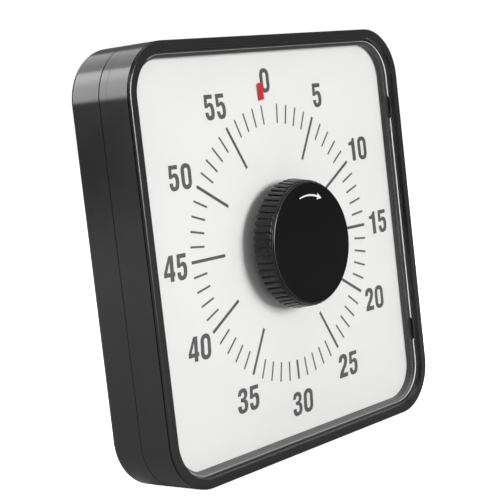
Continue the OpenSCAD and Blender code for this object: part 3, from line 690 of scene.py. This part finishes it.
def offset_loop(loop, d):
    """Moves each point of a closed loop inward by d (to the left of the direction of travel)."""
    out, n = [], len(loop)
    for i in range(n):
        (x0, y0), (x1, y1), (x2, y2) = loop[i - 1], loop[i], loop[(i + 1) % n]
        ax, ay, bx, by = x1 - x0, y1 - y0, x2 - x1, y2 - y1
        la, lb = math.hypot(ax, ay) or 1, math.hypot(bx, by) or 1
        nx, ny = -(ay / la + by / lb), (ax / la + bx / lb)
        l = math.hypot(nx, ny) or 1
        cosh = max(0.5, l / 2)
        out.append((x1 + nx / l * d / cosh, y1 + ny / l * d / cosh))
    return out


def round_square(h, r, n=20):
    out = []
    for k in range(4):
        c, s = ((1, 0), (0, 1), (-1, 0), (0, -1))[k]
        for i in range(n + 1):
            t = math.radians(90 * i / n)
            x, y = h - r + r * math.cos(t), h - r + r * math.sin(t)
            out.append((x * c - y * s, x * s + y * c))
    return out


def circle(r, n, at=(0, 0), back=False):
    p = [(at[0] + r * math.cos(2 * math.pi * i / n), at[1] + r * math.sin(2 * math.pi * i / n)) for i in range(n)]
    return p[::-1] if back else p


# ------------------------------------------------------------------ lens
def lens():
    h = A - RIM - 0.9
    out = []
    base = round_square(h, CR - RIM - 0.9, 24)
    per = len(base) // 4
    for k in range(4):
        c, s = ((1, 0), (0, 1), (-1, 0), (0, -1))[k]
        side = []
        for m in (-1, 1) if k in (0, 2) else ():
            y0 = m * TAB_AT
            side += [(h, y0 - 6.0), (h + 0.35, y0 - 5.7), (h + 1.0, y0 - 5.0), (h + 1.4, y0 - 3.8), (h + 1.55, y0 - 2.0),
                     (h + 1.55, y0 + 2.0), (h + 1.4, y0 + 3.8), (h + 1.0, y0 + 5.0), (h + 0.35, y0 + 5.7), (h, y0 + 6.0)]
        out += [(x * c - y * s, x * s + y * c) for x, y in side]
        out += base[k * per:(k + 1) * per]
    hole = circle(14.0, 96, back=True)
    ch = 0.14
    rings = [(LENS_B, ch), (LENS_B + ch, 0.0), (LENS_F - ch, 0.0), (LENS_F, ch)]
    v, f = [], []
    for lp in (out, hole):
        b, m = len(v), len(lp)
        for z, d in rings:
            q = offset_loop(lp, d) if d else lp
            v += [(x, y, z) for x, y in q]
        for k in range(3):
            for i in range(m):
                j = (i + 1) % m
                dull = False
                f.append(((b + k * m + i, b + k * m + j, b + (k + 1) * m + j, b + (k + 1) * m + i), 0 if dull else 1))
    for z, up in ((LENS_B, False), (LENS_F, True)):
        pts, tri = triangles([offset_loop(out, ch), offset_loop(hole, ch)])
        b = len(v)
        v += [(x, y, z) for x, y in pts]
        f += [(tuple(b + i for i in (t if up else reversed(t))), 0) for t in tri]
    o = raw("lens_sheet", v, f, [M["lens"], M["lens_edge"]])
    clean(o)
    return place(o, "case", ["lens"], weighted=False)


# ------------------------------------------------------------------ dial
def ease(q):
    return q * q * (3 - 2 * q)


def dial_height(x, y):
    """Front surface of the dial at a point."""
    r, t = math.hypot(x, y), math.degrees(math.atan2(x, y)) % 360
    hz = DIAL + 0.02
    if r <= RAMP:
        return hz + PITCH * t / 360
    if t > 353 or r >= RAMP + FADE:
        return DIAL
    q = (r - RAMP) / FADE
    return max(DIAL, hz - 0.03 * q + (1 - ease(q)) * PITCH * t / 360)


def band(name, t0, t1, n, sec, mats=()):
    """Closed sheet swept about the axis: sec holds (r, z, share of the rise)."""
    v, f, m = [], [], len(sec)
    for i in range(n + 1):
        t = t0 + (t1 - t0) * i / n
        for r, z, k in sec:
            v.append((r * math.sin(math.radians(t)), r * math.cos(math.radians(t)), z + k * PITCH * t / 360))
    for i in range(n):
        for j in range(m):
            l = (j + 1) % m
            f.append((i * m + j, i * m + l, (i + 1) * m + l, (i + 1) * m + j))
    f.append(tuple(range(m)))
    f.append(tuple(range(n * m + m - 1, n * m - 1, -1)))
    o = raw(name, v, f, mats)
    clean(o, 0.0005)
    return o


def edge_at(t):
    """Distance from the middle to the edge of the square sheet along a line at angle t."""
    h, r = A - 6.4, CR - 6.4
    c, u, v = h - r, abs(math.sin(t)), abs(math.cos(t))
    e = h / max(u, v)
    if e * min(u, v) <= c:
        return e
    q = c * (u + v)
    return q + math.sqrt(q * q - 2 * c * c + r * r)


def dial():
    """One sheet on a polar grid: raised and slit in the middle, faded to the level outside field."""
    hz, th = DIAL + 0.02, 0.3
    rs = [9.0, 18.0, 28.0, 38.0, 48.0, 57.0, 63.0, RAMP, RAMP + 0.6] + [RAMP + FADE * i / 20 for i in range(1, 21)] + [None]
    ts = [0.25] + [353 * i / 236 for i in range(1, 236)] + [353.0]
    st = [(t, "up") for t in ts] + [(353 + 6.75 * i / 6, "gap") for i in range(7)]
    corner = [45 + 90 * k + d for k in range(4) for d in (-9.5, -7, -4.7, -2.4, 0, 2.4, 4.7, 7, 9.5)]
    st = sorted({*st, *((t, "up") for t in corner)}, key=lambda q: (q[0], q[1] == "gap"))
    n, m = len(st), len(rs)
    v, up, low = [], [], []
    for t, zone in st:
        a, rise = math.radians(t), PITCH * t / 360
        for r in rs:
            rr = edge_at(a) if r is None else r
            if r is None:
                z = (DIAL, DIAL - 0.5)
            elif r <= RAMP:
                z = (hz + rise, hz + rise - th)
            elif zone == "gap":
                z = (DIAL, DIAL - 0.5)
            else:
                q = (r - RAMP) / FADE
                k = (1 - ease(q)) * rise
                z = (max(DIAL, hz - 0.03 * q + k), max(DIAL, hz - 0.03 * q + k) - th - 0.2 * q)
            v += [(rr * math.sin(a), rr * math.cos(a), z[0]), (rr * math.sin(a), rr * math.cos(a), z[1])]

    def on(i, j):
        if not 0 <= j < m - 1:
            return False
        r0, r1 = rs[j], rs[j + 1] or 999
        (t0, z0), (t1, z1) = st[i % n], st[(i + 1) % n]
        if z0 == "up" and z1 == "gap":
            return r1 <= RAMP or r0 >= RAMP + FADE - 1e-6
        if z0 == "gap" and z1 == "gap":
            return not r0 == RAMP
        if z0 == "gap" and z1 == "up":
            return r0 > RAMP
        return True

    def at(i, j, side):
        return 2 * ((i % n) * m + j) + side

    f = []
    for i in range(n):
        for j in range(m - 1):
            if not on(i, j):
                continue
            f.append((at(i, j, 0), at(i, j + 1, 0), at(i + 1, j + 1, 0), at(i + 1, j, 0)))
            f.append((at(i, j, 1), at(i + 1, j, 1), at(i + 1, j + 1, 1), at(i, j + 1, 1)))
            if not on(i, j - 1):
                f.append((at(i, j, 0), at(i + 1, j, 0), at(i + 1, j, 1), at(i, j, 1)))
            if not on(i, j + 1):
                f.append((at(i, j + 1, 0), at(i, j + 1, 1), at(i + 1, j + 1, 1), at(i + 1, j + 1, 0)))
            if not on(i - 1, j):
                f.append((at(i, j, 0), at(i, j, 1), at(i, j + 1, 1), at(i, j + 1, 0)))
            if not on(i + 1, j):
                f.append((at(i + 1, j, 0), at(i + 1, j + 1, 0), at(i + 1, j + 1, 1), at(i + 1, j, 1)))
    main = raw("dial_sheet", v, f, [M["dial"]])
    clean(main, 0.0006)
    boolean(main, [rod("t", e, 2.15, 9.0, 12.0, 32) for e in EARS], "DIFFERENCE")
    # the level field reaches a little inward under the free end of the raised part
    under = band("t", -7.25, 0.2, 8, [(RAMP - 2.4, DIAL - 0.45, 0), (RAMP - 2.4, DIAL - 0.05, 0), (RAMP + 0.8, DIAL - 0.05, 0), (RAMP + 0.8, DIAL - 0.45, 0)], [M["dial"]])
    main = joined("dial_sheet", [main, under])
    main.data.materials.append(M["dial"])
    return place(main, "case", ["dial"], angle=25)


def ink(name, loops_list, look, step=None, lift=0.03):
    """Printed marks as one thin closed film that follows the dial."""
    parts = []
    for loops in loops_list:
        parts.append(film("t", loops, lambda x, y: dial_height(x, y) + lift, lambda x, y: dial_height(x, y) - 0.06, step))
    o = joined(name, parts)
    o.data.materials.append(M[look])
    clean(o, 0.0002)
    return place(o, "case", angle=40, weighted=False)


def tick(deg, r0, r1, w):
    t = math.radians(deg)
    c, s = math.cos(t), math.sin(t)
    lp = [(-w / 2, r0), (w / 2, r0), (w / 2, r1), (-w / 2, r1)]
    return [dense([(x * c + y * s + PRINT[0], -x * s + y * c + PRINT[1]) for x, y in lp], 2.0)]


def spline(points, n=7):
    """Closed outline through points (x, y, corner?): smooth runs between the corners."""
    m = len(points)
    corners = [i for i, p in enumerate(points) if p[2]]
    out = []
    start = corners[0] if corners else 0
    seq = [points[(start + i) % m] for i in range(m + 1)]
    for i in range(m):
        p1, p2 = seq[i], seq[i + 1]
        p0 = seq[i - 1] if not p1[2] else None
        if p0 is None and not p1[2]:
            p0 = seq[m - 1]
        if i == 0 and not p1[2]:
            p0 = seq[m - 1]
        p3 = (seq[i + 2] if i + 2 <= m else seq[1]) if not p2[2] else None
        if p1[2] and p2[2]:
            out.append((p1[0], p1[1]))
            continue
        if p0 is None:
            p0 = (2 * p1[0] - p2[0], 2 * p1[1] - p2[1]) if p3 is None else (p1[0] - (p2[0] - p1[0]) * 1.0, p1[1] - (p2[1] - p1[1]) * 1.0)
        if p3 is None:
            p3 = (2 * p2[0] - p1[0], 2 * p2[1] - p1[1])
        P = [Vector(p0[:2]), Vector(p1[:2]), Vector(p2[:2]), Vector(p3[:2])]
        k = [0.0]
        for a, b in zip(P, P[1:]):
            k.append(k[-1] + max(1e-4, (b - a).length) ** 0.5)
        for j in range(n):
            t = k[1] + (k[2] - k[1]) * j / n
            a1 = P[0] * ((k[1] - t) / (k[1] - k[0])) + P[1] * ((t - k[0]) / (k[1] - k[0]))
            a2 = P[1] * ((k[2] - t) / (k[2] - k[1])) + P[2] * ((t - k[1]) / (k[2] - k[1]))
            a3 = P[2] * ((k[3] - t) / (k[3] - k[2])) + P[3] * ((t - k[2]) / (k[3] - k[2]))
            b1 = a1 * ((k[2] - t) / (k[2] - k[0])) + a2 * ((t - k[0]) / (k[2] - k[0]))
            b2 = a2 * ((k[3] - t) / (k[3] - k[1])) + a3 * ((t - k[1]) / (k[3] - k[1]))
            c = b1 * ((k[2] - t) / (k[2] - k[1])) + b2 * ((t - k[1]) / (k[2] - k[1]))
            out.append((c.x, c.y))
    return out


def oval(w, h, cx, cy, n=40, power=2.3, straight=0.0):
    """Tall ring outline: flat sides of length straight between squarish round ends."""
    out = []
    for i in range(n):
        t = 2 * math.pi * (i + 0.5) / n
        c, s = math.cos(t), math.sin(t)
        x = w / 2 * math.copysign(abs(c) ** (2 / power), c)
        y = (h - straight) / 2 * math.copysign(abs(s) ** (2 / power), s)
        out.append((cx + x, cy + y + math.copysign(straight / 2, s)))
    return out


S, K = False, True
DIGITS = {
    "0": [oval(6.6, 11.1, 3.3, 5.4, 48, 2.25, 4.4), oval(2.25, 7.3, 3.3, 5.4, 32, 2.1, 5.0)[::-1]],
    "1": [spline([(3.0, 0, K), (5.45, 0, K), (5.45, 10.8, K), (3.95, 10.8, K), (3.35, 9.75, S), (2.2, 9.05, S), (0.85, 8.85, K), (0.85, 7.45, K), (3.0, 7.45, K)])],
    "2": [spline([(0.12, 0, K), (6.35, 0, K), (6.35, 2.05, K), (3.15, 2.05, K), (3.75, 3.15, S), (4.95, 4.6, S), (5.95, 6.15, S), (6.35, 8.0, S), (5.65, 10.15, S), (3.3, 10.95, S), (0.95, 10.1, S), (0.05, 7.75, S), (0.05, 7.35, K), (2.25, 7.35, K), (2.3, 8.0, S), (3.2, 9.15, S), (4.12, 8.0, S), (3.85, 6.85, S), (2.9, 5.35, S), (1.5, 3.7, S), (0.55, 2.2, S), (0.15, 0.9, S)])],
    "3": [spline([(0.0, 3.35, K), (0.2, 1.7, S), (1.3, 0.25, S), (3.3, -0.18, S), (5.55, 0.5, S), (6.55, 3.0, S), (6.05, 4.95, S), (4.95, 5.85, K), (5.85, 6.75, S), (6.25, 8.35, S), (5.5, 10.3, S), (3.3, 10.98, S), (1.1, 10.3, S), (0.15, 7.8, K), (2.3, 7.8, K), (2.5, 8.75, S), (3.25, 9.2, S), (4.05, 8.7, S), (4.2, 7.9, S), (3.75, 6.9, S), (2.7, 6.62, S), (1.95, 6.62, K), (1.95, 4.95, K), (2.7, 4.95, S), (3.9, 4.6, S), (4.4, 3.2, S), (4.15, 2.0, S), (3.3, 1.52, S), (2.55, 1.95, S), (2.3, 3.35, K)])],
    "4": [spline([(3.65, 0, K), (5.85, 0, K), (5.85, 2.05, K), (6.55, 2.05, K), (6.55, 3.85, K), (5.85, 3.85, K), (5.85, 10.8, K), (3.3, 10.8, K), (0.0, 3.95, K), (0.0, 2.05, K), (3.65, 2.05, K)]), [(3.72, 3.85), (1.85, 3.85), (3.72, 8.2)]],
    "5": [spline([(0.35, 10.8, K), (0.1, 5.15, K), (2.05, 5.15, K), (2.4, 5.55, S), (3.0, 5.72, S), (3.75, 5.2, S), (4.0, 3.8, S), (3.75, 2.15, S), (3.0, 1.6, S), (2.3, 2.05, S), (2.1, 3.3, K), (0.0, 3.3, K), (0.3, 1.45, S), (1.3, 0.15, S), (3.05, -0.18, S), (5.3, 0.65, S), (6.2, 3.8, S), (5.55, 6.5, S), (3.8, 7.35, S), (2.75, 7.15, S), (2.1, 6.6, K), (2.15, 8.95, K), (5.9, 8.95, K), (5.9, 10.8, K)])],
}
ADVANCE, CAP = 7.72, 10.8


# how each number sits on the sheet: shift in x and y, width, height and lean
SITS = {
    "0": (-0.15, 0.0, 1.0, 1.0, 0.0), "5": (0.35, 0.9, 1.06, 1.03, 0.0), "10": (0.4, 0.05, 1.09, 1.02, 0.0),
    "15": (0.95, -0.2, 1.13, 1.02, 0.0), "20": (1.45, 0.15, 1.10, 1.02, 0.0), "25": (1.9, -0.45, 1.11, 1.035, 0.0),
    "30": (1.4, -0.7, 1.05, 1.0, 0.0), "35": (0.9, -0.9, 1.02, 1.01, 0.02), "40": (0.15, 0.4, 0.94, 1.01, 0.04),
    "45": (1.03, -0.6, 0.95, 1.025, 0.05), "50": (0.28, -0.25, 0.90, 1.0, 0.05), "55": (0.5, 0.5, 0.92, 1.02, 0.05),
}


def numeral(text, cx, cy):
    loops = []
    dx, dy, sx, sy, lean = SITS[text]
    x0 = -ADVANCE * len(text) / 2 + (ADVANCE - 6.5) / 2
    for i, ch in enumerate(text):
        for lp in DIGITS[ch]:
            loops.append([(cx + dx + sx * (x0 + i * ADVANCE + x) + lean * (y - CAP / 2), cy + dy + sy * (y - CAP / 2)) for x, y in lp])
    return loops


def dial_print():
    fine, heavy, figures = [], [], []
    for i in range(1, 60):
        if i % 5:
            fine.append(tick(6 * i, 54.72, 63.57, 0.92))
        elif i == 30:
            heavy.append(tick(6 * i, 54.7, 63.6, 1.4))
        else:
            heavy.append(tick(6 * i, 41.7, 63.6, 1.4))
    for i in range(12):
        t = math.radians(30 * i)
        for loops in [numeral(str(5 * i), 74.2 * math.sin(t) + PRINT[0], 74.2 * math.cos(t) + PRINT[1])]:
            k = len(loops)
            figures.append([dense(lp, 0.9) for lp in loops])
    return [ink("dial_minute_ticks", fine, "ink_fine", 3.0), ink("dial_five_minute_ticks", heavy, "ink_heavy", 3.0), ink("dial_numerals", figures, "ink_heavy", 1.1)]


# ------------------------------------------------------------------ time disc
def time_disc():
    dz = DIAL + 0.02 - 0.5
    top = [(8.03, dz, 1), (25.0, dz, 1), (45.0, dz, 1), (65.3, dz, 1), (65.4, dz - 0.04, 1)]
    low = [(r, z - (0.25 if i < 4 else 0.17), k) for i, (r, z, k) in enumerate(top)]
    main = band("time_disc_film", 3, 358.4, 176, top + low[::-1], [M["red"]])
    tongue = band("t", 354.9, 357.2, 3, [(64.4, dz - 0.01, 1), (67.0, dz - 0.01, 1), (67.0, dz - 0.24, 1), (64.4, dz - 0.24, 1)])
    boolean(main, tongue, "UNION")
    z1 = dz + PITCH * 356.05 / 360 - 0.235
    lp = [(-6.2, RAMP - 0.5)]
    lp += [(-5.1 - 1.1 * math.cos(math.radians(15 * i)), 72.9 + 1.1 * math.sin(math.radians(15 * i))) for i in range(7)]
    lp += [(-4.2 + 1.1 * math.sin(math.radians(15 * i)), 72.9 + 1.1 * math.cos(math.radians(15 * i))) for i in range(7)]
    lp += [(-3.1, RAMP - 0.5)]
    lp = lp[::-1]
    tab = film("t", [lp], lambda x, y: z1 + 0.21, lambda x, y: z1)
    clean(tab, 0.0005)
    boolean(main, tab, "UNION")
    main.data.materials.clear()
    main.data.materials.append(M["red"])
    return place(main, "disc", ["time_disc"], angle=30, weighted=False)


# ------------------------------------------------------------------ knob
def rib(t):
    """Broad ribs with narrow square grooves between them."""
    p = (t * RIBS / (2 * math.pi)) % 1.0
    p = min(p, 1 - p)
    if p < 0.25:
        return -0.04 * (p / 0.25) ** 2
    if p < 0.32:
        return -0.04 - 0.11 * (p - 0.25) / 0.07
    if p < 0.385:
        return -0.15 - 0.70 * (p - 0.32) / 0.065
    return -0.85


def knob():
    b0 = KNOB_Z1 - 1.5
    r = KNOB_R
    rf = r - KNOB_TAPER
    top = KNOB_Z1 - 4.1

    def cone(z):
        return r - KNOB_TAPER * (z - KNOB_Z0) / (b0 - KNOB_Z0)

    prof = [
        (3.02, 14.95), (3.17, 14.8), (8.7, 14.8), (9.0, 15.1), (9.0, top), (rf - 2.4, top), (rf - 2.4, KNOB_Z0 + 0.25), (rf - 2.2, KNOB_Z0),
        (r - 1.25, KNOB_Z0, 0.35), (r - 0.5, KNOB_Z0, 0.8), (r - 0.17, KNOB_Z0 + 0.12, 0.95)]
    prof += [(cone(KNOB_Z0 + d) - 0.005, KNOB_Z0 + d, 1.0 - 0.1 * d / 8.6) for d in (0.45, 1.5, 3.0, 5.0, 7.0)]
    prof += [
        (cone(b0 - 0.5), b0 - 0.5, 0.9), (cone(b0 - 0.2) - 0.05, b0 - 0.2, 0.86), (rf - 0.16, b0 - 0.06, 0.7), (rf - 0.3, b0, 0.5),
        (rf - 0.37, b0 + 0.01), (rf - 0.40, b0 + 0.15), (rf - 0.54, b0 + 0.62), (rf - 0.60, b0 + 0.76), (rf - 0.70, b0 + 0.84), (rf - 0.80, b0 + 0.85),
        (rf - 0.93, b0 + 0.85), (rf - 1.0, b0 + 0.78), (rf - 1.0, KNOB_Z1 - 1.25), (3.4, KNOB_Z1 - 1.25), (3.4, 25.55), (1.3, 25.55), (1.3, 25.15), (3.02, 25.15),
    ]
    skirt = turned("knob_skirt_ribbed", prof, RIBS * 16, wave=rib, mats=[M["knob"]])
    place(skirt, "knob", ["knob_skirt"], angle=38)
    c = KNOB_Z1 - 1.23
    rc = rf - 1.02
    face = [(0.001, c), (rc - 0.1, c), (rc, c + 0.1), (rc, c + 0.92), (rc - 0.04, c + 1.02), (rc - 0.12, c + 1.11), (rc - 0.22, c + 1.175), (rc - 0.34, c + 1.205), (rc - 0.48, c + 1.215), (22.0, c + 1.215), (12.0, c + 1.215), (0.001, c + 1.215)]
    # the chamfer faces of the cap take the lighter cap edge material: painted highlight along the rim of the face
    cap = turned("knob_cap_face", face, 180, mats=[M["cap"], M["cap_edge"]], mat_of=lambda k: 1 if 3 <= k <= 6 else 0)
    place(cap, "knob", ["knob_cap"], angle=50)
    # arrow that shows which way to wind, printed on the face
    a0, a1, a2, rm = -16.0, 19.5, 27.2, 21.45
    outer = [(rm + 0.30 + 0.16 * i / 14, a0 + (a1 - a0) * i / 14) for i in range(15)]
    inner = [(rm - 0.30 - 0.16 * i / 14, a0 + (a1 - a0) * i / 14) for i in range(14, -1, -1)]
    head = [(rm + 1.6, a1 - 1.2), (rm + 0.1, a2), (rm - 1.6, a1 - 1.2)]
    lp = [(q * math.sin(math.radians(t)), q * math.cos(math.radians(t))) for q, t in outer + head + inner][::-1]
    arrow = film("knob_arrow_print", [lp], lambda x, y: KNOB_Z1 - 0.002, lambda x, y: KNOB_Z1 - 0.06, mats=[M["ink_white"]])
    clean(arrow, 0.0005)
    place(arrow, "knob", angle=40, weighted=False)
    return skirt, cap, arrow


# ------------------------------------------------------------------ magnets in the back
def magnets():
    made = []
    for p in MAGNETS:
        z0, z1 = BACK + 0.3, BACK + 2.58
        made.append(turned("t", [(0.001, z1), (7.3, z1), (7.5, z1 - 0.2), (7.5, z0 + 0.35), (7.4, z0 + 0.12), (7.15, z0), (0.001, z0)], 96, p))
    o = joined("back_magnets", made)
    o.data.materials.append(M["magnet"])
    return place(o, "case", ["magnets"])


front_case()
rear_case()
lens()
dial()
dial_print()
time_disc()
knob()
magnets()


# ------------------------------------------------------------------ stage, light, camera
FLOOR_GLOW, FLOOR_DULL = 1.0, 0.42


def floor():
    me = bpy.data.meshes.new("floor")
    s = 6.0
    me.from_pydata([(-s, -s, -0.0003), (s, -s, -0.0003), (s, s, -0.0003), (-s, s, -0.0003)], [], [(0, 1, 2, 3)])
    o = bpy.data.objects.new("floor", me)
    bpy.context.scene.collection.objects.link(o)
    m = Nodes("floor_pale")
    fine = m.noise(6.0, 2.0)
    p = m.principled(Roughness=0.9, Specular_IOR_Level=0.1)
    m.link(m.ramp(fine, [(0.3, (0.86, 0.86, 0.86)), (0.7, (0.88, 0.88, 0.88))]), p.inputs["Base Color"])
    p.inputs["Emission Color"].default_value = (1, 1, 1, 1)
    p.inputs["Emission Strength"].default_value = FLOOR_GLOW
    d = m.add("ShaderNodeBsdfDiffuse")
    m.link(m.ramp(fine, [(0.3, (FLOOR_DULL,) * 3), (0.7, (FLOOR_DULL,) * 3)]), d.inputs["Color"])
    mix = m.add("ShaderNodeMixShader")
    m.link(m.add("ShaderNodeLightPath").outputs["Is Camera Ray"], mix.inputs["Fac"])
    m.link(d.outputs[0], mix.inputs[1])
    m.link(p.outputs[0], mix.inputs[2])
    me.materials.append(m.done(mix.outputs[0]))


def softbox(name, at, to, sx, sy, watts, colour=(1, 1, 1)):
    d = bpy.data.lights.new(name, "AREA")
    d.shape, d.size, d.size_y, d.energy, d.color = "RECTANGLE", sx, sy, watts, colour
    o = bpy.data.objects.new(name, d)
    o.location = at
    o.rotation_euler = (Vector(to) - Vector(at)).to_track_quat("-Z", "Y").to_euler()
    o.visible_camera = False
    bpy.context.scene.collection.objects.link(o)
    return o


def world(light, seen):
    w = bpy.data.worlds.new("studio")
    w.use_nodes = True
    nt = w.node_tree
    nt.nodes.clear()
    out = nt.nodes.new("ShaderNodeOutputWorld")
    a, b = nt.nodes.new("ShaderNodeBackground"), nt.nodes.new("ShaderNodeBackground")
    a.inputs["Color"].default_value = (light, light, light, 1)
    b.inputs["Color"].default_value = (seen, seen, seen, 1)
    lp, mix = nt.nodes.new("ShaderNodeLightPath"), nt.nodes.new("ShaderNodeMixShader")
    nt.links.new(lp.outputs["Is Camera Ray"], mix.inputs["Fac"])
    nt.links.new(a.outputs[0], mix.inputs[1])
    nt.links.new(b.outputs[0], mix.inputs[2])
    nt.links.new(mix.outputs[0], out.inputs["Surface"])
    bpy.context.scene.world = w


floor()
world(0.205, 1.05)
mid = (0, 0, 0.095)
softbox("softbox_back_left", (-1.15, 1.05, 0.92), mid, 1.5, 1.25, 30)
softbox("softbox_back_top", (-0.1, 1.5, 1.75), mid, 2.2, 1.3, 15)
softbox("softbox_front", (0.42, -3.0, 0.56), mid, 1.1, 1.1, 83)
softbox("softbox_front_left", (-1.6, -1.40, 1.30), mid, 0.30, 0.8, 2)
softbox("softbox_top", (0.1, -0.2, 1.9), mid, 1.4, 1.4, 8)

cam = bpy.data.cameras.new("camera")
cam.sensor_width, cam.lens = 36.0, 1490.787 / 500 * 36
cam.clip_start, cam.clip_end = 0.01, 50
eye = bpy.data.objects.new("camera", cam)
right = Vector((0.64021382, -0.75994668, -0.11228231))
down = Vector((-0.14298596, 0.02572475, -0.98939034))
ahead = Vector((0.75477234, 0.64947616, -0.09219237))
turn = Matrix((right, -down, -ahead)).transposed().to_4x4()
eye.matrix_world = Matrix.Translation((-0.52548104, -0.44312518, 0.06179919 + 0.095)) @ turn
bpy.context.scene.collection.objects.link(eye)
bpy.context.scene.camera = eye
bpy.context.scene.view_settings.view_transform = "Standard"
bpy.context.scene.view_settings.look = "None"

bpy.context.view_layer.update()
